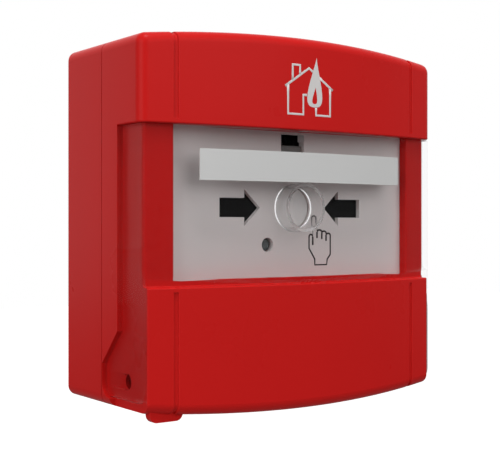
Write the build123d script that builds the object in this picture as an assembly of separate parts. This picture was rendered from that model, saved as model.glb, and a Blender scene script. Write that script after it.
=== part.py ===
from build123d import *
import math
import os

# Manual call point: wall box, front cover, clear hinged flap, tilting operating plate, switch and reset lock.
# Millimetres. +X is right, +Z is up, and +Y points into the wall. The origin is the middle of the wall face.

# Outer form
WIDTH = 98.0
EDGE_HEIGHT = 93.6
CROWN = 2.6
SIDE_DEPTH = 39.9
BULGE = 4.5
EDGE_RADIUS = 2.8
FAR = 70.0
HALF_WIDTH = WIDTH / 2
HALF_HEIGHT = EDGE_HEIGHT / 2
FRONT_DEPTH = SIDE_DEPTH + BULGE

# Shells
WALL = 2.4
REAR_WALL = 2.6
SEAM = 19.5
GASKET = 0.3
COVER_REAR = SEAM + GASKET
GROOVE_X = 39.5
GROOVE_WIDTH = 1.2
GROOVE_DEPTH = 0.5
GROOVE_SOFTNESS = 0.2
SOFT_EDGE = 0.4

# Window and clear flap
FLAP_THICKNESS = 1.6
FLAP_SOFTNESS = 0.3
FLAP_SEAT = 1.9
SEAT_WALL = 2.1
WINDOW_X = 39.2
WINDOW_BOTTOM = -16.0
WINDOW_TOP = 24.7
LEDGE_TOP = -14.3
RIM_WALL = 2.0
FLAP_REAR = 28.1
PIVOT_Y = -30.5
PIVOT_Z = -40.0
PIVOT_RADIUS = 2.0
PADDLE_RADIUS = 9.3
PADDLE_BOTTOM = -44.3
PADDLE_REAR = 8.9
PADDLE_SHOULDER = 4.5
PADDLE_CORNER = 3.6
BEVEL_FRONT = -44.4
BEVEL_REAR = -36.0
BEVEL_RISE = 3.9
POCKET_REAR = 19.9
POCKET_CORNER = 3.9
POCKET_BOTTOM = -44.9
POCKET_STEP = -27.4
POCKET_SHOULDER = -36.2
RUNNING_GAP = 0.1
PART_GAP = 0.3

# Label strip and guard ring on the flap
LABEL_X = 33.4
LABEL_BOTTOM = 10.8
LABEL_TOP = 18.7
LABEL_THICKNESS = 0.3
RING_RADIUS = 6.5
RING_WALL = 0.9
RING_Z = 4.1
RING_REAR = 37.3

# Operating plate
PLATE_FRONT = 36.8
PLATE_THICKNESS = 2.2
PLATE_REAR = PLATE_FRONT - PLATE_THICKNESS
PLATE_X = 40.8
PLATE_BOTTOM = -15.6
PLATE_TOP = 26.0
SLOT_X = 3.9
SLOT_BOTTOM = 19.0
SLOT_TOP = 24.1
CATCH_Z = 13.0
DISC_RADIUS = 5.3
DISC_GAP = 0.4
DISC_DEPTH = 0.9
LED_X = -8.4
LED_Z = -5.8
LED_HOLE_RADIUS = 1.9
HINGE_Y = -32.4
HINGE_Z = -15.2
HINGE_PIN_RADIUS = 1.0
HINGE_LUG_X = 26.0
HINGE_LUG_WIDTH = 3.0

# Chassis, circuit board and what they carry
CHASSIS_FRONT = 27.6
CHASSIS_REAR = 25.2
CHASSIS_X = 42.0
CHASSIS_BOTTOM = -35.0
CHASSIS_TOP = 37.0
BOSS_X = 36.0
BOSS_TOP_Z = 33.0
BOSS_BOTTOM_Z = -30.0
BOSS_RADIUS = 3.0
BOARD_FRONT = 22.6
BOARD_REAR = 21.0
BOARD_X = 36.0
BOARD_BOTTOM = -30.0
BOARD_TOP = 28.0
BOARD_SCREW_X = 32.0
BOARD_SCREW_Z = (-26.0, 24.0)
SWITCH_X = 6.4
SWITCH_BOTTOM = 1.2
SWITCH_TOP = 7.0
SWITCH_FRONT = 29.6
BUTTON_X = 1.5
BUTTON_HALF_HEIGHT = 0.7
BUTTON_FRONT = 31.0
BUTTON_REAR = 27.6
SPRING_X = 20.0
SPRING_Z = 14.0
SPRING_RADIUS = 2.4
SPRING_WIRE = 0.3
SPRING_TURNS = 5
SEAT_HEIGHT = 0.8
FLAG_X = 4.3
FLAG_FRONT = 30.6
FLAG_THICKNESS = 1.0
FLAG_BOTTOM = 25.5
FLAG_HEIGHT = 8.0
GUIDE_WALL = 1.6
TERMINAL_COUNT = 6
TERMINAL_PITCH = 5.08
TERMINAL_BOTTOM = -28.0
TERMINAL_TOP = -17.0
TERMINAL_REAR = 10.6

# Reset lock in the bottom wall
LOCK_X = 0.0
LOCK_Y = -31.0
LOCK_RADIUS = 4.0
LOCK_TOP = -40.4
LOCK_BOTTOM = -49.0
CAM_RADIUS = 9.0
CAM_MIDDLE_Z = -36.0
CAM_RISE = 3.0
SLIDER_X = 11.0
SLIDER_HALF_WIDTH = 1.5
SLIDER_TOP = 8.5
SLIDER_FRONT = 29.6
FOOT_BOTTOM = CAM_MIDDLE_Z + 1.2

# Release lug under the lower left corner
LUG_NEAR_X = -45.9
LUG_FAR_X = -36.4
LUG_FRONT = -39.4
LUG_REAR = -37.2
LUG_BOTTOM = -49.4
LUG_TOP = -42.0

# Wall fixings and cable entry
FIXING_X = 30.15
FIXING_RADIUS = 2.3
ENTRY_Z = 20.0
ENTRY_RADIUS = 10.0
KNOCKOUT_RADIUS = 6.2
KNOCKOUT_Y = -10.5
COVER_SCREW_X = 30.0
COVER_SCREW_Y = -13.0


def block(x0, x1, y0, y1, z0, z1):
    """Box between two corners."""
    centre = ((x0 + x1) / 2, (y0 + y1) / 2, (z0 + z1) / 2)
    return Pos(*centre) * Box(abs(x1 - x0), abs(y1 - y0), abs(z1 - z0))


def rod_x(radius, x0, x1, y, z):
    """Cylinder along X."""
    return Pos((x0 + x1) / 2, y, z) * Rot(0, 90, 0) * Cylinder(radius, abs(x1 - x0))


def rod_y(radius, y0, y1, x, z):
    """Cylinder along Y."""
    return Pos(x, (y0 + y1) / 2, z) * Rot(90, 0, 0) * Cylinder(radius, abs(y1 - y0))


def rod_z(radius, z0, z1, x, y):
    """Cylinder along Z."""
    return Pos(x, y, (z0 + z1) / 2) * Cylinder(radius, abs(z1 - z0))


def side_prism(points, x0, x1):
    """Prism along X over an outline given as (y, z) points."""
    plane = Plane(origin=(x0, 0, 0), x_dir=(0, 1, 0), z_dir=(1, 0, 0))
    outline = Polyline(*points, close=True)
    return extrude(plane * make_face(outline), x1 - x0)


def rib_profile(points, z0, z1):
    """Prism along Z over an outline given as (x, y) points."""
    outline = Polyline(*points, close=True)
    return Pos(0, 0, z0) * extrude(make_face(outline), z1 - z0)


def envelope(inset=0.0, radius=EDGE_RADIUS):
    """The whole outer form, drawn in by inset: bowed front, crowned top and bottom, rounded edges."""
    front_radius = (HALF_WIDTH ** 2 + BULGE ** 2) / (2 * BULGE)
    crown_radius = (HALF_WIDTH ** 2 + CROWN ** 2) / (2 * CROWN)
    crown_centre = crown_radius - HALF_HEIGHT - CROWN
    half = HALF_WIDTH - inset
    body = block(-half, half, -FAR, 0, -FAR, FAR)
    body &= rod_z(front_radius - inset, -FAR, FAR, 0, front_radius - FRONT_DEPTH)
    body &= rod_y(crown_radius - inset, -FAR, FAR, 0, -crown_centre)
    body &= rod_y(crown_radius - inset, -FAR, FAR, 0, crown_centre)
    body = body.solid()
    outer = [e for e in body.edges() if e.center().Y < -1.0]
    return fillet(outer, max(radius - inset, 0.5))


def both_sides(piece):
    """A piece and its mirror image across the middle plane."""
    return piece + mirror(piece, Plane.YZ)


def back_box():
    """Shallow wall box with fixing holes, cable entry, a blanked conduit hole and screw holes below."""
    box = OUTER & block(-FAR, FAR, -SEAM, 0, -FAR, FAR)
    box -= CAVITY & block(-FAR, FAR, -FAR, -REAR_WALL, -FAR, FAR)
    for side in (-1, 1):
        box += rod_y(4.6, -REAR_WALL - 1.6, -REAR_WALL + 0.5, side * FIXING_X, 0)
        box -= rod_y(FIXING_RADIUS, -8, 1, side * FIXING_X, 0)
        box -= rod_z(1.6, -FAR, -HALF_HEIGHT + 6, side * COVER_SCREW_X, COVER_SCREW_Y)
        box -= rod_z(3.0, -FAR, -HALF_HEIGHT - 0.3, side * COVER_SCREW_X, COVER_SCREW_Y)
    box -= rod_y(ENTRY_RADIUS + 1.0, -8, 1, 0, ENTRY_Z)
    box -= rod_z(KNOCKOUT_RADIUS, HALF_HEIGHT - 6, FAR, 0, KNOCKOUT_Y)
    return box


def flap_pockets():
    """Space let into the cover sides for the flap arms, with a rounded lower rear corner."""
    corner_y = -POCKET_REAR - POCKET_CORNER
    corner_z = POCKET_BOTTOM + POCKET_CORNER
    outline = [(-FAR, WINDOW_TOP), (-FLAP_REAR, WINDOW_TOP), (-FLAP_REAR, POCKET_STEP)]
    outline += [(-POCKET_REAR, POCKET_SHOULDER)]
    outline += [(-POCKET_REAR, corner_z), (corner_y, corner_z), (corner_y, -FAR), (-FAR, -FAR)]
    depth = HALF_WIDTH - FLAP_SEAT
    pocket = side_prism(outline, depth, FAR)
    pocket += rod_x(POCKET_CORNER, depth, FAR, corner_y, corner_z)
    return both_sides(pocket)


def pivot_cuts():
    """Pivot hole and the ramp that the flap peg slides up when the flap is snapped in."""
    depth = HALF_WIDTH - FLAP_SEAT
    hole = rod_x(PIVOT_RADIUS + RUNNING_GAP, 40, FAR, PIVOT_Y, PIVOT_Z)
    ramp = rib_profile([(depth, -21.5), (depth - 1.2, PIVOT_Y), (depth + 1, PIVOT_Y), (depth + 1, -21.5)],
                       PIVOT_Z - PIVOT_RADIUS, PIVOT_Z + PIVOT_RADIUS)
    return both_sides(hole + ramp)


def window_rim():
    """Frame round the window, from the pillar faces back to the operating plate, with its sloped sill."""
    rear = -PLATE_FRONT - 0.15
    rim = block(-WINDOW_X - RIM_WALL, WINDOW_X + RIM_WALL, -FAR, rear, WINDOW_BOTTOM - 1.5, WINDOW_TOP + 2.2)
    rim &= SEAT
    rim += OUTER & block(-WINDOW_X - 3, WINDOW_X + 3, -FAR, rear, WINDOW_TOP, WINDOW_TOP + 2.2)
    rim += OUTER & block(-WINDOW_X - 3, WINDOW_X + 3, -FAR, rear, WINDOW_BOTTOM - 2.2, WINDOW_BOTTOM)
    rim -= block(-WINDOW_X, WINDOW_X, -FAR, 0, LEDGE_TOP, WINDOW_TOP)
    sill_cut = [(-FAR, WINDOW_BOTTOM), (-42.5, WINDOW_BOTTOM), (-36.0, LEDGE_TOP), (-36.0, 0), (-FAR, 0)]
    rim -= side_prism(sill_cut, -WINDOW_X, WINDOW_X)
    return rim


def cover_grooves():
    """Shallow upright grooves that run over the top and bottom bands in line with the window."""
    strip = block(GROOVE_X - GROOVE_WIDTH / 2, GROOVE_X + GROOVE_WIDTH / 2, -FAR, -34, WINDOW_TOP + 1.2, FAR)
    strip += block(GROOVE_X - GROOVE_WIDTH / 2, GROOVE_X + GROOVE_WIDTH / 2, -FAR, -34, -FAR, WINDOW_BOTTOM - 1.2)
    strip -= envelope(GROOVE_DEPTH)
    return both_sides(strip)


def cover_bosses():
    """Screw bosses for the chassis, and tongues that reach into the wall box."""
    bosses = Part()
    for x in (-BOSS_X, BOSS_X):
        for z in (BOSS_TOP_Z, BOSS_BOTTOM_Z):
            bosses += rod_y(BOSS_RADIUS, -42, -CHASSIS_FRONT, x, z)
            bosses -= rod_y(1.2, -37, 0, x, z)
    lower = block(COVER_SCREW_X - 4, COVER_SCREW_X + 4, -24, -9, -43.2, -39.5)
    lower -= rod_z(1.25, -FAR, -30, COVER_SCREW_X, COVER_SCREW_Y)
    lower += block(COVER_SCREW_X - 4, COVER_SCREW_X + 4, -24, -21, -46, -39.5)
    upper = block(COVER_SCREW_X - 4, COVER_SCREW_X + 4, -24, -13, 41.0, 43.2)
    upper += block(COVER_SCREW_X - 4, COVER_SCREW_X + 4, -24, -21, 41.0, 46)
    return bosses + both_sides(lower + upper)


def level_edges(solid, z, front):
    """Edges that lie level at height z, further forward than front."""
    picked = []
    for edge in solid.edges():
        box = edge.bounding_box()
        if abs(box.min.Z - z) < 0.01 and abs(box.max.Z - z) < 0.01 and edge.center().Y < front:
            picked.append(edge)
    return picked


def upright_edges(solid, distances, shortest):
    """Straight upright edges at these distances from the middle plane, at least that long."""
    picked = []
    for edge in solid.edges().filter_by(Axis.Z):
        off = min(abs(abs(edge.center().X) - d) for d in distances)
        if off < 0.01 and edge.length > shortest and edge.center().Y < -PLATE_FRONT - 1:
            picked.append(edge)
    return picked


def front_cover():
    """Red front cover: two bands joined by recessed pillars round the window."""
    cover = OUTER & block(-FAR, FAR, -FAR, -COVER_REAR, -FAR, FAR)
    flap_zone = block(-FAR, FAR, -FAR, -FLAP_REAR, WINDOW_BOTTOM, WINDOW_TOP)
    cover -= flap_zone - SEAT
    cover -= flap_pockets()
    hollow = CAVITY & block(-SIDE_HOLLOW, SIDE_HOLLOW, -FAR, 0, -FAR, FAR)
    hollow -= block(-FAR, FAR, -FAR, -30, WINDOW_BOTTOM - 2.2, WINDOW_TOP + 2.2)
    hollow += envelope(FLAP_SEAT + SEAT_WALL) & block(-FAR, FAR, -FAR, 0, WINDOW_BOTTOM, WINDOW_TOP)
    hollow += block(-SIDE_HOLLOW, SIDE_HOLLOW, -PLATE_FRONT, -29, WINDOW_BOTTOM - 2.3, WINDOW_TOP + 2.3)
    cover -= hollow
    cover -= block(-WINDOW_X, WINDOW_X, -FAR, -30, LEDGE_TOP, WINDOW_TOP)
    cover += window_rim()
    cover += cover_bosses() & OUTER
    cover -= pivot_cuts()
    cover -= cover_grooves()
    cover -= rod_z(LOCK_RADIUS + RUNNING_GAP, -FAR, -40, LOCK_X, LOCK_Y)
    cover -= block(LUG_NEAR_X, LUG_FAR_X, LUG_FRONT, LUG_REAR, -FAR, LUG_TOP)
    cover = fillet(level_edges(cover.solid(), WINDOW_BOTTOM, -40.25), SOFT_EDGE)
    cover = fillet(level_edges(cover.solid(), WINDOW_TOP, -39.7), SOFT_EDGE)
    cover = fillet(upright_edges(cover.solid(), [WINDOW_X], 20.0), SOFT_EDGE)
    groove = [GROOVE_X - GROOVE_WIDTH / 2, GROOVE_X + GROOVE_WIDTH / 2]
    return fillet(upright_edges(cover.solid(), groove, 10.0), GROOVE_SOFTNESS)


def release_lug():
    """Small rounded lug under the lower left front corner, which a key lifts to free the cover."""
    lug = block(LUG_NEAR_X, LUG_FAR_X, LUG_FRONT, LUG_REAR, LUG_BOTTOM, LUG_TOP)
    ends = lug.edges().filter_by(Axis.Y).group_by(Axis.Z)[0]
    return fillet(ends, 2.0)


def cover_gasket():
    """Thin seal between the wall box and the cover."""
    ring = envelope(0.7) - envelope(2.0)
    return ring & block(-FAR, FAR, -COVER_REAR, -SEAM, -FAR, FAR)


def flap_paddle(near):
    """Lower end of a flap arm round its pivot: it nearly fills the pocket and clears it as the flap turns."""
    slope = (POCKET_STEP - POCKET_SHOULDER) / (FLAP_REAR - POCKET_REAR)
    rear_y = PIVOT_Y + PADDLE_REAR
    corner_y = rear_y - PADDLE_CORNER
    corner_z = PADDLE_BOTTOM + PADDLE_CORNER
    shoulder_z = PIVOT_Z + PADDLE_SHOULDER
    arm_y = -FLAP_REAR - PART_GAP
    arm_z = shoulder_z + (rear_y - arm_y) * slope
    outline = [(PIVOT_Y, PADDLE_BOTTOM), (corner_y, PADDLE_BOTTOM), (corner_y, corner_z), (rear_y, corner_z)]
    outline += [(rear_y, shoulder_z), (arm_y, arm_z), (PIVOT_Y, arm_z)]
    front = rod_x(PADDLE_RADIUS, near, FAR, PIVOT_Y, PIVOT_Z)
    front &= block(0, FAR, -FAR, PIVOT_Y + 1, PADDLE_BOTTOM, 0)
    return side_prism(outline, near, FAR) + rod_x(PADDLE_CORNER, near, FAR, corner_y, corner_z) + front


def clear_flap():
    """Clear flap: curved front plate, side arms down to the pivots, pivot pegs and a finger tab."""
    shell = OUTER - envelope(FLAP_THICKNESS)
    top = WINDOW_TOP - PART_GAP
    rear = -FLAP_REAR - PART_GAP
    plate = block(-FAR, FAR, -FAR, rear, WINDOW_BOTTOM + PART_GAP, top)
    inner = HALF_WIDTH - FLAP_THICKNESS
    arm = block(inner, FAR, -FAR, rear, PIVOT_Z, top)
    flap = shell & (plate + both_sides(arm + flap_paddle(inner)))
    bottom = WINDOW_BOTTOM + PART_GAP
    bevel = [(BEVEL_FRONT, bottom), (BEVEL_REAR, bottom + BEVEL_RISE)]
    bevel += [(BEVEL_REAR, bottom - 1), (BEVEL_FRONT, bottom - 1)]
    flap -= side_prism(bevel, -inner - 0.05, inner + 0.05)
    peg = rod_x(PIVOT_RADIUS, 44.5, inner + 0.8, PIVOT_Y, PIVOT_Z)
    tab = block(-1.8, 1.8, -43.4, -41.4, 21.6, top)
    flap = flap + both_sides(peg) + tab
    return fillet(level_edges(flap.solid(), top, -43.0), FLAP_SOFTNESS)


def label_strip():
    """Blank strip on the outer face of the flap."""
    strip = envelope(-LABEL_THICKNESS) - OUTER
    return strip & block(-LABEL_X, LABEL_X, -FAR, -30, LABEL_BOTTOM, LABEL_TOP)


def guard_ring():
    """Clear ring standing on the inside of the flap in front of the press point."""
    ring = rod_y(RING_RADIUS, -FAR, -RING_REAR, 0, RING_Z) - rod_y(RING_RADIUS - RING_WALL, -FAR, 0, 0, RING_Z)
    return ring & envelope(FLAP_THICKNESS)


def operating_plate():
    """White plate that tilts inwards when struck, with its flag slot, indicator hole and hinge lugs."""
    plate = block(-PLATE_X, PLATE_X, -PLATE_FRONT, -PLATE_REAR, PLATE_BOTTOM, PLATE_TOP)
    plate -= block(-SLOT_X, SLOT_X, -FAR, 0, SLOT_BOTTOM, SLOT_TOP)
    plate -= rod_y(LED_HOLE_RADIUS, -FAR, 0, LED_X, LED_Z)
    plate -= rod_y(DISC_RADIUS + DISC_GAP, -FAR, -PLATE_FRONT + DISC_DEPTH, 0, RING_Z)
    plate += rod_y(1.5, -PLATE_REAR - 0.5, -BUTTON_FRONT - 0.3, 0, RING_Z)
    plate += block(SLIDER_X - 1.4, SLIDER_X + 1.4, -PLATE_REAR - 0.5, -SLIDER_FRONT - 2.2, CATCH_Z, CATCH_Z + 1.6)
    for side in (-1, 1):
        near = side * HINGE_LUG_X - HINGE_LUG_WIDTH / 2
        far = near + HINGE_LUG_WIDTH
        plate += block(near, far, -PLATE_REAR - 0.2, HINGE_Y, HINGE_Z - 0.4, HINGE_Z + 4)
        plate += rod_x(2.2, near, far, HINGE_Y, HINGE_Z)
        plate -= rod_x(HINGE_PIN_RADIUS + 0.05, near - 1, far + 1, HINGE_Y, HINGE_Z)
        plate += rod_y(1.6, -PLATE_REAR - 0.2, -PLATE_REAR + SEAT_HEIGHT, side * SPRING_X, SPRING_Z)
    return plate


def press_disc():
    """Thin round pad let into the plate at the press point."""
    return rod_y(DISC_RADIUS, -PLATE_FRONT + 0.35, -PLATE_FRONT + DISC_DEPTH, 0, RING_Z)


def plate_hinge_pin():
    """Steel pin along the lower edge of the operating plate."""
    return rod_x(HINGE_PIN_RADIUS, -31.0, 31.0, HINGE_Y, HINGE_Z)


def chassis():
    """Black inner frame: plate, hinge ears, spring seats, flag guides, slider guides and board posts."""
    base = block(-CHASSIS_X, CHASSIS_X, -CHASSIS_FRONT, -CHASSIS_REAR, CHASSIS_BOTTOM, CHASSIS_TOP)
    base -= block(-SWITCH_X - 0.2, SWITCH_X + 0.2, -FAR, 0, SWITCH_BOTTOM - 0.2, SWITCH_TOP + 0.2)
    base -= block(-CAM_RADIUS - 1, CAM_RADIUS + 1, -FAR, 0, -FAR, CAM_MIDDLE_Z + CAM_RISE + 1)
    for side in (-1, 1):
        for offset in (-4.0, 2.0):
            near = side * HINGE_LUG_X + offset
            base += block(near, near + 2, HINGE_Y, -CHASSIS_REAR, HINGE_Z - 2.2, HINGE_Z + 2.2)
            base += rod_x(2.2, near, near + 2, HINGE_Y, HINGE_Z)
        base += rod_y(1.6, -CHASSIS_FRONT - SEAT_HEIGHT, -CHASSIS_REAR, side * SPRING_X, SPRING_Z)
        guide = side * (FLAG_X + 0.1 + GUIDE_WALL / 2)
        base += block(guide - GUIDE_WALL / 2, guide + GUIDE_WALL / 2, -31.2, -CHASSIS_REAR, 16, 36)
        slider = SLIDER_X + side * (SLIDER_HALF_WIDTH + 0.1 + GUIDE_WALL / 2)
        base += block(slider - GUIDE_WALL / 2, slider + GUIDE_WALL / 2, -30.4, -CHASSIS_REAR, -28, -22)
        base += block(slider - GUIDE_WALL / 2, slider + GUIDE_WALL / 2, -30.4, -CHASSIS_REAR, -12, -6)
    base -= rod_x(HINGE_PIN_RADIUS, -31.0, 31.0, HINGE_Y, HINGE_Z)
    base += rod_y(2.6, -31.0, -CHASSIS_REAR, LED_X, LED_Z)
    base -= rod_y(1.4, -FAR, 0, LED_X, LED_Z)
    base -= rod_y(2.1, -26.4, 0, LED_X, LED_Z)
    for x in (-BOSS_X, BOSS_X):
        for z in (BOSS_TOP_Z, BOSS_BOTTOM_Z):
            base -= rod_y(1.4, -FAR, 0, x, z)
    for x in (-BOARD_SCREW_X, BOARD_SCREW_X):
        for z in BOARD_SCREW_Z:
            base += rod_y(2.6, -CHASSIS_REAR - 0.5, -BOARD_FRONT, x, z)
            base -= rod_y(1.05, -CHASSIS_FRONT + 1, 0, x, z)
    return base


def screw_y(shank, head, seat_y, length, x, z):
    """Pan-head screw pointing forward, its head to the rear of seat_y, with a cross slot."""
    screw = rod_y(shank, seat_y - length, seat_y, x, z) + rod_y(head, seat_y, seat_y + 1.4, x, z)
    screw -= block(x - head * 0.6, x + head * 0.6, seat_y + 0.7, seat_y + 2, z - 0.3, z + 0.3)
    screw -= block(x - 0.3, x + 0.3, seat_y + 0.7, seat_y + 2, z - head * 0.6, z + head * 0.6)
    return screw


def chassis_screws():
    """Four screws that hold the chassis to the cover bosses."""
    screws = [screw_y(1.2, 2.3, -CHASSIS_REAR, 7.0, x, z)
              for x in (-BOSS_X, BOSS_X) for z in (BOSS_TOP_Z, BOSS_BOTTOM_Z)]
    return Compound(children=screws)


def board_screws():
    """Four screws that hold the circuit board to the chassis posts."""
    screws = [screw_y(1.05, 1.9, -BOARD_REAR, 5.0, x, z)
              for x in (-BOARD_SCREW_X, BOARD_SCREW_X) for z in BOARD_SCREW_Z]
    return Compound(children=screws)


def cover_screws():
    """Two screws that come up through the wall box into the cover tongues."""
    screws = []
    for x in (-COVER_SCREW_X, COVER_SCREW_X):
        screw = rod_z(1.25, -HALF_HEIGHT - 0.3, -39.7, x, COVER_SCREW_Y)
        screw += rod_z(2.7, -HALF_HEIGHT - 1.4, -HALF_HEIGHT - 0.3, x, COVER_SCREW_Y)
        screw -= block(x - 1.7, x + 1.7, COVER_SCREW_Y - 0.35, COVER_SCREW_Y + 0.35, -FAR, -HALF_HEIGHT - 0.9)
        screws.append(screw)
    return Compound(children=screws)


def circuit_board():
    """Board behind the chassis with holes for its four screws."""
    board = block(-BOARD_X, BOARD_X, -BOARD_FRONT, -BOARD_REAR, BOARD_BOTTOM, BOARD_TOP)
    for x in (-BOARD_SCREW_X, BOARD_SCREW_X):
        for z in BOARD_SCREW_Z:
            board -= rod_y(1.05, -FAR, 0, x, z)
    return board


def microswitch_body():
    """Switch body through the chassis window, with the well for its button."""
    body = block(-SWITCH_X, SWITCH_X, -SWITCH_FRONT, -BOARD_FRONT - 0.1, SWITCH_BOTTOM, SWITCH_TOP)
    well_x = BUTTON_X + RUNNING_GAP
    well_z = BUTTON_HALF_HEIGHT + RUNNING_GAP
    return body - block(-well_x, well_x, -FAR, -BUTTON_REAR + 1.8, RING_Z - well_z, RING_Z + well_z)


def microswitch_button():
    """Button that the nose on the operating plate pushes in."""
    return block(-BUTTON_X, BUTTON_X, -BUTTON_FRONT, -BUTTON_REAR, RING_Z - BUTTON_HALF_HEIGHT,
                 RING_Z + BUTTON_HALF_HEIGHT)


def return_springs():
    """Two compression springs that push the operating plate back out."""
    front = -PLATE_REAR + SPRING_WIRE + 0.05
    rear = -CHASSIS_FRONT - SPRING_WIRE - 0.05
    springs = []
    for x in (-SPRING_X, SPRING_X):
        path = Helix(pitch=(rear - front) / SPRING_TURNS, height=rear - front, radius=SPRING_RADIUS,
                     center=(x, front, SPRING_Z), direction=(0, 1, 0))
        section = Plane(origin=path @ 0, z_dir=path % 0) * Circle(SPRING_WIRE)
        springs.append(sweep(section, path))
    return Compound(children=springs)


def indicator_flag():
    """Yellow flag that drops behind the slot when the plate has been pushed in."""
    top = FLAG_BOTTOM + FLAG_HEIGHT
    flag = block(-FLAG_X, FLAG_X, -FLAG_FRONT, -FLAG_FRONT + FLAG_THICKNESS, FLAG_BOTTOM, top)
    return flag - rod_y(1.2, -FAR, 0, 0, top - 2.2)


def status_led():
    """Indicator lamp soldered to the front of the board."""
    lamp = rod_y(1.5, -26.0, -BOARD_FRONT - 0.05, LED_X, LED_Z)
    return lamp + rod_y(1.9, -23.4, -BOARD_FRONT - 0.05, LED_X, LED_Z)


def light_pipe():
    """Clear rod that carries the lamp's light to the hole in the plate."""
    return rod_y(1.35, -35.6, -26.3, LED_X, LED_Z)


def terminal_centres():
    """X of each terminal."""
    first = -(TERMINAL_COUNT - 1) / 2 * TERMINAL_PITCH
    return [first + i * TERMINAL_PITCH for i in range(TERMINAL_COUNT)]


def terminal_block():
    """Screw terminal block on the rear of the board, wires entering from below."""
    half = TERMINAL_COUNT * TERMINAL_PITCH / 2
    body = block(-half, half, -BOARD_REAR + 0.05, -TERMINAL_REAR, TERMINAL_BOTTOM, TERMINAL_TOP)
    for x in terminal_centres():
        body -= block(x - 1.9, x + 1.9, -17.6, -13.6, TERMINAL_BOTTOM - 1, TERMINAL_TOP - 2)
        body -= rod_y(1.8, -14, 0, x, -21.5)
    return body


def terminal_screws():
    """Clamping screws of the terminal block."""
    screws = []
    for x in terminal_centres():
        screw = rod_y(1.65, -13.4, -11.2, x, -21.5)
        screw -= block(x - 2, x + 2, -11.8, -11, -21.8, -21.2)
        screws.append(screw)
    return Compound(children=screws)


def terminal_clamps():
    """Metal clamping cages inside the terminal block."""
    cages = []
    for x in terminal_centres():
        cage = block(x - 1.75, x + 1.75, -17.4, -13.7, -25.5, -20.0)
        cages.append(cage - block(x - 1.25, x + 1.25, -16.9, -14.2, -26, -19))
    return Compound(children=cages)


def resistors():
    """Two line resistors lying on the rear of the board."""
    bodies = []
    for z in (12.0, 17.0):
        lead = rod_x(0.3, -26.0, -12.0, -18.9, z)
        bodies.append(lead + rod_x(1.2, -22.5, -15.5, -18.9, z))
        for x in (-26.0, -12.0):
            bodies[-1] += rod_y(0.3, -BOARD_REAR + 0.05, -18.6, x, z)
    return Compound(children=bodies)


def capacitor():
    """Round electrolytic capacitor standing on the rear of the board."""
    return rod_y(3.2, -BOARD_REAR + 0.05, -13.6, 22.0, 10.0)


def controller_chip():
    """Small controller chip with legs along two sides."""
    chip = block(-4.0, 4.0, -20.4, -18.9, 8.0, 14.0)
    for i in range(6):
        x = -3.4 + i * 1.36
        chip += block(x - 0.2, x + 0.2, -20.9, -20.0, 7.0, 15.0)
    return chip


def cable_grommet():
    """Rubber grommet in the rear cable entry, with a flange on each side of the wall."""
    ring = rod_y(ENTRY_RADIUS + 0.9, -REAR_WALL - 1.3, -0.4, 0, ENTRY_Z)
    ring += rod_y(ENTRY_RADIUS + 2.6, -REAR_WALL - 1.3, -REAR_WALL - 0.05, 0, ENTRY_Z)
    return ring - rod_y(ENTRY_RADIUS - 2.5, -8, 1, 0, ENTRY_Z)


def conduit_blank():
    """Plug that closes the unused conduit hole in the top of the wall box."""
    cap = rod_z(KNOCKOUT_RADIUS - 0.1, 44.6, FAR, 0, KNOCKOUT_Y) & envelope(0.3)
    return cap + rod_z(KNOCKOUT_RADIUS + 1.2, 45.4, 46.9, 0, KNOCKOUT_Y)


def lock_barrel():
    """Round lock barrel in the bottom wall, with a key slot and a retaining collar."""
    barrel = rod_z(LOCK_RADIUS, LOCK_BOTTOM, LOCK_TOP, LOCK_X, LOCK_Y)
    barrel += rod_z(LOCK_RADIUS + 1.6, -46.6, -45.4, LOCK_X, LOCK_Y)
    return barrel - block(-0.7, 0.7, LOCK_Y - 2.6, LOCK_Y + 2.6, LOCK_BOTTOM - 1, LOCK_BOTTOM + 7)


def reset_cam():
    """Slant-topped cam on the lock barrel: as it turns, its high side comes under the slider's foot."""
    cam = rod_z(CAM_RADIUS, LOCK_TOP, CAM_MIDDLE_Z + 2 * CAM_RISE, LOCK_X, LOCK_Y)
    front = LOCK_Y - 2 * CAM_RADIUS
    rear = LOCK_Y + 2 * CAM_RADIUS
    above = [(front, CAM_MIDDLE_Z + 2 * CAM_RISE), (rear, CAM_MIDDLE_Z - 2 * CAM_RISE), (rear, 0), (front, 0)]
    return cam - side_prism(above, -FAR, FAR)


def reset_slider():
    """Upright bar that the cam lifts to free the latched plate."""
    near = SLIDER_X - SLIDER_HALF_WIDTH
    far = SLIDER_X + SLIDER_HALF_WIDTH
    rear = -CHASSIS_FRONT - 0.1
    bar = block(near, far, -SLIDER_FRONT, rear, FOOT_BOTTOM, SLIDER_TOP)
    return bar + block(CAM_RADIUS - 2.5, far, LOCK_Y - 1.2, rear, FOOT_BOTTOM, FOOT_BOTTOM + 2.2)


OUTER = envelope()
SEAT = envelope(FLAP_SEAT)
CAVITY = envelope(WALL)
SIDE_HOLLOW = HALF_WIDTH - FLAP_SEAT - SEAT_WALL

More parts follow.
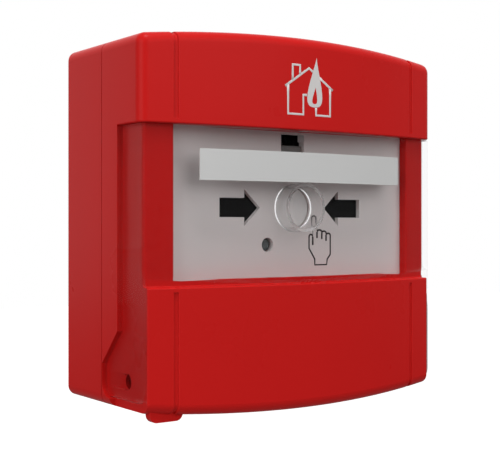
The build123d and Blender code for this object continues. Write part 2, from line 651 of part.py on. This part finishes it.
NODES = {
    "back_box": back_box,
    "front_cover": front_cover,
    "release_lug": release_lug,
    "cover_gasket": cover_gasket,
    "clear_flap": clear_flap,
    "label_strip": label_strip,
    "guard_ring": guard_ring,
    "operating_plate": operating_plate,
    "press_disc": press_disc,
    "plate_hinge_pin": plate_hinge_pin,
    "chassis": chassis,
    "chassis_screws": chassis_screws,
    "board_screws": board_screws,
    "cover_screws": cover_screws,
    "circuit_board": circuit_board,
    "microswitch_body": microswitch_body,
    "microswitch_button": microswitch_button,
    "return_springs": return_springs,
    "indicator_flag": indicator_flag,
    "status_led": status_led,
    "light_pipe": light_pipe,
    "terminal_block": terminal_block,
    "terminal_screws": terminal_screws,
    "terminal_clamps": terminal_clamps,
    "resistors": resistors,
    "capacitor": capacitor,
    "controller_chip": controller_chip,
    "cable_grommet": cable_grommet,
    "conduit_blank": conduit_blank,
    "lock_barrel": lock_barrel,
    "reset_cam": reset_cam,
    "reset_slider": reset_slider,
}

os.makedirs("parts", exist_ok=True)
for name, make in NODES.items():
    export_step(make(), f"parts/{name}.step")
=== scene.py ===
import math

import bpy
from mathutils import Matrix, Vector


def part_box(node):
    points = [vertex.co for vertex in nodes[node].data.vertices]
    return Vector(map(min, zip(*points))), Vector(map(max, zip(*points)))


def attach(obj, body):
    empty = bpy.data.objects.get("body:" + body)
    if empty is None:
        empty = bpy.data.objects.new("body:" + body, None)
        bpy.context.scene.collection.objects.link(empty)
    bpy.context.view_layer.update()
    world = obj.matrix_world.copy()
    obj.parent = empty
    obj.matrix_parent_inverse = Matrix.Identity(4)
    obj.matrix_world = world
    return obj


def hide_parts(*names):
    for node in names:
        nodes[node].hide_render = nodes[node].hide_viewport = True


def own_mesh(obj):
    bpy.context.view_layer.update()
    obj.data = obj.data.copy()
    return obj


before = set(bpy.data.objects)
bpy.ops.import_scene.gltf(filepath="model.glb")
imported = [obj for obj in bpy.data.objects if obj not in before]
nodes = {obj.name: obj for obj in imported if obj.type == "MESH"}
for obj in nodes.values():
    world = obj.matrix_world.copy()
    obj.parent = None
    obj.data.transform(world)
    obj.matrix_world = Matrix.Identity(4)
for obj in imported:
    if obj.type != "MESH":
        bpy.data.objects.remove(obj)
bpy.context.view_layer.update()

mm = 0.001


# ---------------------------------------------------------------------------------------------
# Wall box, front cover, release lug and conduit blank: injection-moulded red ABS, smooth and
# semi-gloss. Long edges are faintly paler where hands and cloths rub them, and the faces carry
# a very fine mould texture and a little uneven polish. The red is given less gloss than real
# ABS has, because the white surroundings would lay a pale sheen over it.
# ---------------------------------------------------------------------------------------------
def socket(group, name, direction, kind, value=None):
    """Adds one named input or output to a node group."""
    made = group.interface.new_socket(name=name, in_out=direction, socket_type=kind)
    if value is not None:
        made.default_value = value


# The cosine between the true and the rounded normal, where rubbing begins and where it is full.
rub_begins = 0.995
rub_is_full = 0.90


def make_edge_rub():
    """Mask that is 1 on worn outer edges and 0 on flat faces."""
    group = bpy.data.node_groups.new("edge_rub", "ShaderNodeTree")
    socket(group, "Radius", "INPUT", "NodeSocketFloat", 0.0004)
    socket(group, "Breakup", "INPUT", "NodeSocketFloat", 120.0)
    socket(group, "Mask", "OUTPUT", "NodeSocketFloat")
    tree = group.nodes
    inputs = tree.new("NodeGroupInput")
    outputs = tree.new("NodeGroupOutput")
    rounded = tree.new("ShaderNodeBevel")
    rounded.samples = 4
    surface = tree.new("ShaderNodeNewGeometry")
    dot = tree.new("ShaderNodeVectorMath")
    dot.operation = "DOT_PRODUCT"
    spread = tree.new("ShaderNodeMapRange")
    spread.inputs["From Min"].default_value = rub_begins
    spread.inputs["From Max"].default_value = rub_is_full
    place = tree.new("ShaderNodeTexCoord")
    patches = tree.new("ShaderNodeTexNoise")
    patches.inputs["Detail"].default_value = 3.0
    both = tree.new("ShaderNodeMath")
    both.operation = "MULTIPLY"
    link = group.links.new
    link(inputs.outputs["Radius"], rounded.inputs["Radius"])
    link(rounded.outputs["Normal"], dot.inputs[0])
    link(surface.outputs["Normal"], dot.inputs[1])
    link(dot.outputs["Value"], spread.inputs["Value"])
    link(place.outputs["Object"], patches.inputs["Vector"])
    link(inputs.outputs["Breakup"], patches.inputs["Scale"])
    link(spread.outputs["Result"], both.inputs[0])
    link(patches.outputs["Fac"], both.inputs[1])
    link(both.outputs["Value"], outputs.inputs["Mask"])
    return group


def make_mould_skin():
    """Fine mould texture as a height, and slow uneven polish as a value from 0 to 1."""
    group = bpy.data.node_groups.new("mould_skin", "ShaderNodeTree")
    socket(group, "Grain", "INPUT", "NodeSocketFloat", 2600.0)
    socket(group, "Polish", "INPUT", "NodeSocketFloat", 38.0)
    socket(group, "Height", "OUTPUT", "NodeSocketFloat")
    socket(group, "Uneven", "OUTPUT", "NodeSocketFloat")
    tree = group.nodes
    inputs = tree.new("NodeGroupInput")
    outputs = tree.new("NodeGroupOutput")
    place = tree.new("ShaderNodeTexCoord")
    grain = tree.new("ShaderNodeTexNoise")
    grain.inputs["Detail"].default_value = 2.0
    cloud = tree.new("ShaderNodeTexNoise")
    cloud.inputs["Detail"].default_value = 4.0
    cloud.inputs["Roughness"].default_value = 0.6
    link = group.links.new
    link(place.outputs["Object"], grain.inputs["Vector"])
    link(place.outputs["Object"], cloud.inputs["Vector"])
    link(inputs.outputs["Grain"], grain.inputs["Scale"])
    link(inputs.outputs["Polish"], cloud.inputs["Scale"])
    link(grain.outputs["Fac"], outputs.inputs["Height"])
    link(cloud.outputs["Fac"], outputs.inputs["Uneven"])
    return group


edge_rub = make_edge_rub()
mould_skin = make_mould_skin()


def add_group(material, group, **values):
    """Places a shared node group in a material with its own values."""
    node = material.node_tree.nodes.new("ShaderNodeGroup")
    node.node_tree = group
    for name, value in values.items():
        node.inputs[name].default_value = value
    return node


relief_depth = 0.1 * mm
mould_rub = 0.4 * mm
uneven_polish = 0.03
tone_mottle = 0.05


def add_rubbed_colour(material, colour, worn, rub):
    """Colour that turns paler where edges are rubbed."""
    tree = material.node_tree
    edges = add_group(material, edge_rub, Radius=rub)
    tint = tree.nodes.new("ShaderNodeMix")
    tint.data_type = "RGBA"
    tint.inputs["A"].default_value = (*colour, 1)
    tint.inputs["B"].default_value = (*worn, 1)
    tree.links.new(edges.outputs["Mask"], tint.inputs["Factor"])
    return tint.outputs["Result"]


def add_polish(material, skin, smoothest, roughest):
    """Roughness that wanders between two values over the surface."""
    tree = material.node_tree
    polish = tree.nodes.new("ShaderNodeMapRange")
    polish.inputs["To Min"].default_value = smoothest
    polish.inputs["To Max"].default_value = roughest
    tree.links.new(skin.outputs["Uneven"], polish.inputs["Value"])
    tree.links.new(polish.outputs["Result"], tree.nodes["Principled BSDF"].inputs["Roughness"])


def add_relief(material, height, strength):
    """Shallow relief from a height, such as mould texture or brush marks."""
    tree = material.node_tree
    relief = tree.nodes.new("ShaderNodeBump")
    relief.inputs["Strength"].default_value = strength
    relief.inputs["Distance"].default_value = relief_depth
    tree.links.new(height, relief.inputs["Height"])
    tree.links.new(relief.outputs["Normal"], tree.nodes["Principled BSDF"].inputs["Normal"])


def moulded(name, colour, worn, roughness, specular=0.3, grain=2600.0, bump=0.02):
    """Moulded plastic: base colour, paler rubbed edges, uneven polish and fine mould texture."""
    material = bpy.data.materials.new(name)
    material.use_nodes = True
    tree = material.node_tree
    plastic = tree.nodes["Principled BSDF"]
    plastic.inputs["Specular IOR Level"].default_value = specular
    skin = add_group(material, mould_skin, Grain=grain)
    shade = tree.nodes.new("ShaderNodeMix")
    shade.data_type = "RGBA"
    shade.blend_type = "MULTIPLY"
    shade.inputs["Factor"].default_value = tone_mottle
    tree.links.new(add_rubbed_colour(material, colour, worn, mould_rub), shade.inputs["A"])
    tree.links.new(skin.outputs["Uneven"], shade.inputs["B"])
    tree.links.new(shade.outputs["Result"], plastic.inputs["Base Color"])
    add_polish(material, skin, roughness - uneven_polish, roughness + uneven_polish)
    add_relief(material, skin.outputs["Height"], bump)
    return material


def finish_with(material, *names):
    """Gives CAD pieces their material."""
    for name in names:
        mesh = nodes[name].data
        mesh.materials.clear()
        mesh.materials.append(material)


red_abs = moulded("red_abs", (0.53, 0.011, 0.010), (0.60, 0.022, 0.020), 0.28, specular=0.05)
finish_with(red_abs, "back_box", "front_cover", "release_lug", "conduit_blank")

# ---------------------------------------------------------------------------------------------
# Gasket and cable grommet: black moulded rubber, pressed in by hand. It is matt, and slightly
# grey where it has been handled.
# ---------------------------------------------------------------------------------------------
rubber_black = (0.018, 0.018, 0.019)
black_rubber = moulded("black_rubber", rubber_black, (0.06, 0.06, 0.06), 0.72, grain=1500.0, bump=0.15)
finish_with(black_rubber, "cover_gasket", "cable_grommet")

# ---------------------------------------------------------------------------------------------
# Circuit board: glass-fibre laminate under green solder resist. Its tracks show through the
# resist as slightly lighter lines.
# ---------------------------------------------------------------------------------------------
def make_board_resist():
    """Green resist with faint tracks under it."""
    material = bpy.data.materials.new("board_resist")
    material.use_nodes = True
    tree = material.node_tree
    resist = tree.nodes["Principled BSDF"]
    resist.inputs["Coat Weight"].default_value = 0.3
    place = tree.nodes.new("ShaderNodeTexCoord")
    turn = tree.nodes.new("ShaderNodeMapping")
    turn.inputs["Rotation"].default_value = (math.pi / 2, 0, 0)
    tracks = tree.nodes.new("ShaderNodeTexBrick")
    tracks.inputs["Scale"].default_value = 120.0
    tracks.inputs["Mortar Size"].default_value = 0.06
    tracks.inputs["Color1"].default_value = (0.012, 0.11, 0.035, 1)
    tracks.inputs["Color2"].default_value = (0.016, 0.13, 0.045, 1)
    tracks.inputs["Mortar"].default_value = (0.03, 0.20, 0.07, 1)
    skin = add_group(material, mould_skin, Grain=900.0)
    link = tree.links.new
    link(place.outputs["Object"], turn.inputs["Vector"])
    link(turn.outputs["Vector"], tracks.inputs["Vector"])
    link(tracks.outputs["Color"], resist.inputs["Base Color"])
    add_relief(material, tracks.outputs["Fac"], 0.2)
    add_polish(material, skin, 0.25, 0.45)
    return material


finish_with(make_board_resist(), "circuit_board")

# ---------------------------------------------------------------------------------------------
# What stands on the board: black epoxy chip and capacitor sleeve, beige resistors, green
# terminal block and plated brass clamps.
# ---------------------------------------------------------------------------------------------
black_epoxy = moulded("black_epoxy", (0.02, 0.02, 0.022), (0.05, 0.05, 0.05), 0.5)
finish_with(black_epoxy, "controller_chip", "capacitor")
finish_with(moulded("beige_lacquer", (0.50, 0.36, 0.20), (0.6, 0.48, 0.3), 0.4), "resistors")
finish_with(moulded("terminal_green", (0.02, 0.20, 0.07), (0.06, 0.3, 0.13), 0.42), "terminal_block")


metal_rub = 0.2 * mm
brush_relief = 0.08
brush_spread = 0.3


def machined(name, colour, worn, roughness, brush):
    """Metal with fine drawn or turned marks and brighter edges."""
    material = bpy.data.materials.new(name)
    material.use_nodes = True
    tree = material.node_tree
    metal = tree.nodes["Principled BSDF"]
    metal.inputs["Metallic"].default_value = 1.0
    skin = add_group(material, mould_skin, Grain=brush, Polish=150.0)
    tree.links.new(add_rubbed_colour(material, colour, worn, metal_rub), metal.inputs["Base Color"])
    add_polish(material, skin, roughness * (1 - brush_spread), roughness * (1 + brush_spread))
    add_relief(material, skin.outputs["Height"], brush_relief)
    return material


finish_with(machined("plated_brass", (0.72, 0.56, 0.30), (0.85, 0.7, 0.42), 0.3, 900.0), "terminal_clamps")

# ---------------------------------------------------------------------------------------------
# Screws, hinge pin and return springs: zinc-plated or drawn steel.
# ---------------------------------------------------------------------------------------------
zinc_steel = machined("zinc_steel", (0.55, 0.56, 0.58), (0.8, 0.8, 0.8), 0.32, 1200.0)
finish_with(zinc_steel, "chassis_screws", "board_screws", "cover_screws", "terminal_screws")
drawn_steel = machined("drawn_steel", (0.5, 0.5, 0.51), (0.7, 0.7, 0.7), 0.25, 2000.0)
finish_with(drawn_steel, "plate_hinge_pin", "return_springs")

# ---------------------------------------------------------------------------------------------
# Chassis and switch: black moulded plastic behind the plate, the switch with a red button.
# ---------------------------------------------------------------------------------------------
black_abs = moulded("black_abs", (0.022, 0.022, 0.023), (0.07, 0.07, 0.07), 0.5, grain=1400.0, bump=0.08)
finish_with(black_abs, "chassis", "microswitch_body")
finish_with(moulded("button_red", (0.42, 0.02, 0.015), (0.5, 0.06, 0.05), 0.35), "microswitch_button")

# ---------------------------------------------------------------------------------------------
# Indicator flag: yellow plastic slide that drops behind the slot once the plate is struck.
# ---------------------------------------------------------------------------------------------
finish_with(moulded("flag_yellow", (0.82, 0.52, 0.015), (0.9, 0.65, 0.1), 0.4), "indicator_flag")

# ---------------------------------------------------------------------------------------------
# Reset lock: turned steel barrel with a white acetal cam and slider above it.
# ---------------------------------------------------------------------------------------------
finish_with(machined("turned_steel", (0.45, 0.45, 0.46), (0.7, 0.7, 0.7), 0.28, 1600.0), "lock_barrel")
white_acetal = moulded("white_acetal", (0.70, 0.70, 0.67), (0.8, 0.8, 0.78), 0.38)
finish_with(white_acetal, "reset_cam", "reset_slider")


# ---------------------------------------------------------------------------------------------
# Operating plate: pale satin plastic, moulded with a flag slot, an indicator hole and two arrow
# recesses that point at the press point. It tilts inwards when struck.
# ---------------------------------------------------------------------------------------------
plate_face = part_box("operating_plate")[0].y
ring_low, ring_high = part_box("guard_ring")
press_z = (ring_low.z + ring_high.z) / 2
arrow_tip = 10.9 * mm
arrow_neck = 16.0 * mm
arrow_end = 23.8 * mm
head_half = 4.9 * mm
shaft_half = 2.55 * mm
recess_depth = 1.6 * mm
inlay_thickness = 0.25 * mm
inlay_gap = 0.03 * mm
inlay_lift = 0.02 * mm
seam_reach = 1e-6


def only(*pieces):
    """Selects these pieces alone, the first one active."""
    bpy.ops.object.select_all(action="DESELECT")
    for piece in pieces:
        piece.select_set(True)
    bpy.context.view_layer.objects.active = pieces[0]


def flat_outline(name, loops, half_thickness):
    """A flat filled shape in the XZ plane, made from closed straight-sided loops of (x, z) points."""
    outline = bpy.data.curves.new(name, "CURVE")
    outline.dimensions = "2D"
    outline.fill_mode = "BOTH"
    outline.extrude = half_thickness
    for points in loops:
        spline = outline.splines.new("POLY")
        spline.points.add(len(points) - 1)
        for point, (x, z) in zip(spline.points, points):
            point.co = (x, z, 0, 1)
        spline.use_cyclic_u = True
    shape = bpy.data.objects.new(name, outline)
    bpy.context.scene.collection.objects.link(shape)
    only(shape)
    bpy.ops.object.convert(target="MESH")
    shape.rotation_euler = (math.pi / 2, 0, 0)
    bpy.ops.object.transform_apply(location=True, rotation=True, scale=True)
    return shape


def settle(shape, y):
    """Moves a flat shape back or forward to depth y and merges its seams."""
    shape.location.y = y
    only(shape)
    bpy.ops.object.transform_apply(location=True, rotation=True, scale=True)
    bpy.ops.object.mode_set(mode="EDIT")
    bpy.ops.mesh.select_all(action="SELECT")
    bpy.ops.mesh.remove_doubles(threshold=seam_reach)
    bpy.ops.mesh.normals_make_consistent(inside=False)
    bpy.ops.object.mode_set(mode="OBJECT")
    return shape


def arrow_points(side, gap=0.0):
    """Outline of an arrow that points at the middle from one side, drawn in by a gap."""
    point_gap = 1.2 * gap
    tip = arrow_tip + point_gap
    neck = arrow_neck - gap
    end = arrow_end - gap
    barb = head_half - point_gap
    shaft = shaft_half - gap
    upper = [(neck, barb), (neck, shaft), (end, shaft)]
    lower = [(x, -z) for x, z in reversed(upper)]
    return [(side * x, press_z + z) for x, z in [(tip, 0)] + upper + lower]


plate = bpy.data.objects.new("recessed_plate", nodes["operating_plate"].data.copy())
bpy.context.scene.collection.objects.link(plate)
settle(plate, 0)
for side, word in ((-1, "left"), (1, "right")):
    cutter = settle(flat_outline("arrow_cutter", [arrow_points(side)], recess_depth), plate_face)
    only(plate)
    cut = plate.modifiers.new("arrow recess", "BOOLEAN")
    cut.operation = "DIFFERENCE"
    cut.solver = "EXACT"
    cut.object = cutter
    bpy.ops.object.modifier_apply(modifier=cut.name)
    bpy.data.objects.remove(cutter)
    inlay = flat_outline(word + "_arrow", [arrow_points(side, inlay_gap)], inlay_thickness / 2)
    settle(inlay, plate_face + recess_depth - inlay_thickness / 2 - inlay_lift)
    black = moulded(word + "_arrow_black", (0.007, 0.007, 0.007), (0.02, 0.02, 0.02), 0.5, specular=0.05)
    inlay.data.materials.append(black)
    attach(inlay, "plate")
plate_white = (0.69, 0.645, 0.635)
plate_worn = (0.74, 0.71, 0.70)
satin_white = moulded("satin_white", plate_white, plate_worn, 0.5, specular=0.15, grain=1800.0, bump=0.04)
plate.data.materials.clear()
plate.data.materials.append(satin_white)
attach(plate, "plate")
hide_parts("operating_plate")

# ---------------------------------------------------------------------------------------------
# Return springs: two drawn-steel coils that stand on the chassis and push the plate out. They
# ride with the housing and keep a mesh of their own.
# ---------------------------------------------------------------------------------------------
coils = bpy.data.objects.new("coil_springs", nodes["return_springs"].data.copy())
bpy.context.scene.collection.objects.link(coils)
settle(coils, 0)
coils.data.materials.clear()
coils.data.materials.append(drawn_steel)
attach(coils, "housing")
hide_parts("return_springs")
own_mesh(coils)

# ---------------------------------------------------------------------------------------------
# Step behind the flag slot: grey moulded ledge on the rear of the plate, which fills the lower
# part of the slot and leaves the upper part open for the flag. All its edges are softened.
# ---------------------------------------------------------------------------------------------
step_half = 3.82 * mm
step_low = 19.03 * mm
step_high = 21.1 * mm
step_front = plate_face + 0.9 * mm
step_rear = plate_face + 2.1 * mm
step_edge = 0.25 * mm
bpy.ops.object.select_all(action="DESELECT")
step_middle = (0, (step_front + step_rear) / 2, (step_low + step_high) / 2)
bpy.ops.mesh.primitive_cube_add(size=1, location=step_middle)
slot_step = bpy.context.object
slot_step.name = "slot_step"
slot_step.scale = (2 * step_half, step_rear - step_front, step_high - step_low)
bpy.ops.object.transform_apply(location=True, rotation=True, scale=True)
soften = slot_step.modifiers.new("softened edges", "BEVEL")
soften.width = step_edge
soften.segments = 3
bpy.ops.object.modifier_apply(modifier=soften.name)
slot_step.data.materials.append(moulded("step_grey", (0.13, 0.125, 0.12), (0.2, 0.2, 0.19), 0.5))
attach(slot_step, "plate")

# ---------------------------------------------------------------------------------------------
# Press pad: round pad at the press point, set in the plate with a narrow dark joint round it.
# ---------------------------------------------------------------------------------------------
pad_white = moulded("pad_white", (0.72, 0.69, 0.68), (0.76, 0.74, 0.73), 0.48, grain=1800.0, bump=0.04)
finish_with(pad_white, "press_disc")

# ---------------------------------------------------------------------------------------------
# Indicator lamp and its light pipe: clear red lamp on the board, dark smoked rod up to the
# plate.
# ---------------------------------------------------------------------------------------------
haze_spread = 2.0
light_kept = 0.94


def clear_plastic(name, tint, roughness, ior=1.49):
    """Clear or tinted plastic. Light on its way to what lies behind goes straight through."""
    material = bpy.data.materials.new(name)
    material.use_nodes = True
    tree = material.node_tree
    plastic = tree.nodes["Principled BSDF"]
    plastic.inputs["Base Color"].default_value = (*tint, 1)
    plastic.inputs["Transmission Weight"].default_value = 1.0
    plastic.inputs["IOR"].default_value = ior
    skin = add_group(material, mould_skin, Grain=400.0, Polish=25.0)
    haze = tree.nodes.new("ShaderNodeMapRange")
    haze.inputs["To Min"].default_value = roughness
    haze.inputs["To Max"].default_value = roughness * haze_spread
    rays = tree.nodes.new("ShaderNodeLightPath")
    unseen = tree.nodes.new("ShaderNodeMath")
    unseen.operation = "MAXIMUM"
    passing = tree.nodes.new("ShaderNodeBsdfTransparent")
    passing.inputs["Color"].default_value = (*[light_kept * c for c in tint], 1)
    choice = tree.nodes.new("ShaderNodeMixShader")
    output = tree.nodes["Material Output"]
    link = tree.links.new
    link(skin.outputs["Uneven"], haze.inputs["Value"])
    link(haze.outputs["Result"], plastic.inputs["Roughness"])
    link(rays.outputs["Is Shadow Ray"], unseen.inputs[0])
    link(rays.outputs["Is Diffuse Ray"], unseen.inputs[1])
    link(unseen.outputs["Value"], choice.inputs["Fac"])
    link(plastic.outputs["BSDF"], choice.inputs[1])
    link(passing.outputs["BSDF"], choice.inputs[2])
    link(choice.outputs["Shader"], output.inputs["Surface"])
    return material


finish_with(clear_plastic("lamp_red", (0.6, 0.03, 0.02), 0.06), "status_led")
smoked_lens = moulded("smoked_lens", (0.035, 0.045, 0.045), (0.1, 0.11, 0.11), 0.12, specular=0.6)
finish_with(smoked_lens, "light_pipe")

# ---------------------------------------------------------------------------------------------
# Signs: a pointing hand printed on the plate, and a house with a flame printed on the cover.
# The hand and the house are thin lines of ink, and the flame is filled.
# ---------------------------------------------------------------------------------------------
ink_lift = 0.03 * mm
hand_line = 0.55 * mm
house_line = 0.75 * mm


def ink_line(name, runs, width):
    """Thin lines of ink along (x, z) runs of points, flattened against the XZ plane."""
    line = bpy.data.curves.new(name, "CURVE")
    line.dimensions = "3D"
    line.bevel_depth = width / 2
    line.bevel_resolution = 1
    line.use_fill_caps = True
    for points, closed in runs:
        spline = line.splines.new("POLY")
        spline.points.add(len(points) - 1)
        for point, (x, z) in zip(spline.points, points):
            point.co = (x * mm, 0, z * mm, 1)
        spline.use_cyclic_u = closed
    shape = bpy.data.objects.new(name, line)
    bpy.context.scene.collection.objects.link(shape)
    only(shape)
    bpy.ops.object.convert(target="MESH")
    shape.scale.y = ink_lift / (width / 2)
    bpy.ops.object.transform_apply(location=True, rotation=True, scale=True)
    return shape


def arch(x0, x1, z, rise, steps=6):
    """Points over a rounded fingertip from x0 to x1."""
    middle = (x0 + x1) / 2
    half = (x1 - x0) / 2
    turns = [math.pi * i / steps for i in range(steps + 1)]
    return [(middle - half * math.cos(t), z + rise * math.sin(t)) for t in turns]


hand_outline = [(7.7, -11.5), (7.7, -9.9), (5.7, -6.9)] + arch(5.7, 7.0, -3.7, 0.6)
hand_outline += arch(7.0, 8.5, 1.2, 0.6) + arch(8.5, 10.2, -2.4, 0.55) + arch(10.2, 11.7, -2.7, 0.5)
hand_outline += arch(11.7, 13.2, -3.3, 0.5) + [(13.2, -8.7), (12.1, -10.0), (11.9, -11.5)]
gap_ends = [(7.0, -3.7, -6.0), (8.5, -2.4, -4.1), (10.2, -2.7, -4.4), (11.7, -3.3, -4.9)]
finger_gaps = [([(x, top), (x, low)], False) for x, top, low in gap_ends]
hand = settle(ink_line("pointing_hand", [(hand_outline, True)] + finger_gaps, hand_line), plate_face)
hand_ink = moulded("hand_ink", (0.02, 0.015, 0.015), (0.03, 0.025, 0.025), 0.5, specular=0.1)
hand.data.materials.append(hand_ink)
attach(hand, "plate")

cover_low, cover_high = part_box("front_cover")
half_width = cover_high.x
bulge = 4.5 * mm
bow_radius = (half_width ** 2 + bulge ** 2) / (2 * bulge)


def wrap_on_bow(shape):
    """Lays a flat shape against the bowed front of the cover, cut fine enough to follow it."""
    only(shape)
    bpy.ops.object.mode_set(mode="EDIT")
    bpy.ops.mesh.select_all(action="SELECT")
    bpy.ops.mesh.quads_convert_to_tris()
    bpy.ops.mesh.subdivide(number_cuts=3)
    bpy.ops.object.mode_set(mode="OBJECT")
    for vertex in shape.data.vertices:
        vertex.co.y += cover_low.y + bow_radius - math.sqrt(bow_radius ** 2 - vertex.co.x ** 2)
    return shape


flame_taper = 0.75
flame_belly = 1.35
flame_draw = 1.35


def teardrop(x, low, top, half, lean, steps=28):
    """Flame outline: round below, drawn out to a leaning tip."""
    points = []
    for i in range(steps):
        turn = 2 * math.pi * i / steps
        up = (1 - math.cos(turn)) / 2
        width = half * math.sin(turn) * (1 - up) ** flame_taper
        across = x + width * flame_belly + lean * up ** 2
        points.append((across * mm, (low + (top - low) * up ** flame_draw) * mm))
    return points


house = [([(-8.0, 36.0), (-0.2, 41.2), (1.2, 40.3)], False), ([(3.2, 39.0), (8.0, 35.8)], False)]
house += [([(-7.1, 36.4), (-7.1, 28.8), (-2.1, 28.8), (-2.1, 34.0), (-0.9, 34.0)], False)]
house += [([(7.1, 36.2), (7.1, 28.8), (2.2, 28.8), (2.2, 30.8)], False)]
house += [([(-5.6, 37.8), (-5.6, 41.8), (-3.2, 41.8), (-3.2, 39.4)], False)]
house_sign = wrap_on_bow(settle(ink_line("house_outline", house, house_line), 0))
flame_loops = [teardrop(1.7, 30.9, 44.2, 2.7, 0.7), teardrop(1.7, 31.8, 36.4, 0.9, 0.4)]
flame = flat_outline("flame", flame_loops, ink_lift)
wrap_on_bow(settle(flame, 0))
sign_ink = moulded("sign_ink", (0.60, 0.58, 0.57), (0.62, 0.6, 0.6), 0.45)
for sign in (house_sign, flame):
    sign.data.materials.append(sign_ink)
    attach(sign, "housing")

# ---------------------------------------------------------------------------------------------
# Clear flap, its ring and its blank label strip: polished clear polycarbonate, hinged low on
# the sides of the cover. The strip is white vinyl stuck to the outside. The flap bends light
# far less than real polycarbonate, at an index of 1.045 for about 1.58, because the white
# surroundings would veil all that lies behind it.
# ---------------------------------------------------------------------------------------------
finish_with(clear_plastic("clear_polycarbonate", (0.95, 0.95, 0.953), 0.02, ior=1.045), "clear_flap")
finish_with(clear_plastic("clear_ring", (0.95, 0.95, 0.95), 0.05, ior=1.42), "guard_ring")
white_vinyl = moulded("white_vinyl", (0.55, 0.55, 0.545), (0.60, 0.60, 0.59), 0.5, grain=900.0, bump=0.03)
finish_with(white_vinyl, "label_strip")

# ---------------------------------------------------------------------------------------------
# Stage: pale floor well below the wall-mounted part, soft lamps above and in front, white
# surroundings and the camera.
# ---------------------------------------------------------------------------------------------
floor_span = 14
floor_level = -0.6
floor_glow = 0.90
surround_light = 0.28
surround_seen = 1.0
bpy.ops.object.select_all(action="DESELECT")
bpy.ops.mesh.primitive_plane_add(size=floor_span, location=(0, 0, floor_level))
floor = bpy.context.object
floor.name = "floor"
floor_paint = bpy.data.materials.new("floor_paint")
floor_paint.use_nodes = True
paint = floor_paint.node_tree.nodes["Principled BSDF"]
paint.inputs["Base Color"].default_value = (0.5, 0.5, 0.5, 1)
paint.inputs["Roughness"].default_value = 0.9
paint.inputs["Emission Color"].default_value = (1, 1, 1, 1)
seen = floor_paint.node_tree.nodes.new("ShaderNodeLightPath")
glow = floor_paint.node_tree.nodes.new("ShaderNodeMath")
glow.operation = "MULTIPLY"
glow.inputs[1].default_value = floor_glow
floor_paint.node_tree.links.new(seen.outputs["Is Camera Ray"], glow.inputs[0])
floor_paint.node_tree.links.new(glow.outputs["Value"], paint.inputs["Emission Strength"])
floor.data.materials.append(floor_paint)

world = bpy.data.worlds.new("studio")
bpy.context.scene.world = world
world.use_nodes = True
sky = world.node_tree
air = sky.nodes["Background"]
air.inputs["Color"].default_value = (1, 1, 1, 1)
rays = sky.nodes.new("ShaderNodeLightPath")
shown = sky.nodes.new("ShaderNodeMath")
shown.operation = "MAXIMUM"
either = sky.nodes.new("ShaderNodeMath")
either.operation = "MAXIMUM"
level = sky.nodes.new("ShaderNodeMapRange")
level.inputs["To Min"].default_value = surround_light
level.inputs["To Max"].default_value = surround_seen
sky.links.new(rays.outputs["Is Camera Ray"], shown.inputs[0])
sky.links.new(rays.outputs["Is Glossy Ray"], shown.inputs[1])
sky.links.new(shown.outputs["Value"], either.inputs[0])
sky.links.new(rays.outputs["Is Transmission Ray"], either.inputs[1])
sky.links.new(either.outputs["Value"], level.inputs["Value"])
sky.links.new(level.outputs["Result"], air.inputs["Strength"])


def softbox(name, place, target, size, power):
    """A square soft lamp aimed at a point."""
    lamp = bpy.data.lights.new(name, "AREA")
    lamp.shape = "SQUARE"
    lamp.size = size
    lamp.energy = power
    stand = bpy.data.objects.new(name, lamp)
    stand.location = place
    stand.rotation_euler = (Vector(target) - Vector(place)).to_track_quat("-Z", "Y").to_euler()
    bpy.context.scene.collection.objects.link(stand)


softbox("overhead", place=(-0.10, -0.30, 0.9), target=(0, -0.02, 0), size=0.36, power=5.6)
softbox("front_fill", place=(0.25, -1.15, 0.6), target=(0, 0, 0), size=1.0, power=6.5)
softbox("left_fill", place=(-1.1, -0.35, 0.35), target=(0, 0, 0), size=0.8, power=6.6)

camera_place = (-0.1772, -0.2690, -0.0005)
camera_turn = math.radians(-35.09)
camera_lens = 77.26
camera = bpy.data.objects.new("camera", bpy.data.cameras.new("camera"))
camera.location = camera_place
camera.rotation_euler = (math.pi / 2, 0, camera_turn)
camera.data.sensor_width = 36
camera.data.lens = camera_lens
camera.data.clip_start = 0.01
bpy.context.scene.collection.objects.link(camera)
bpy.context.scene.camera = camera
bpy.context.scene.view_settings.view_transform = "Standard"
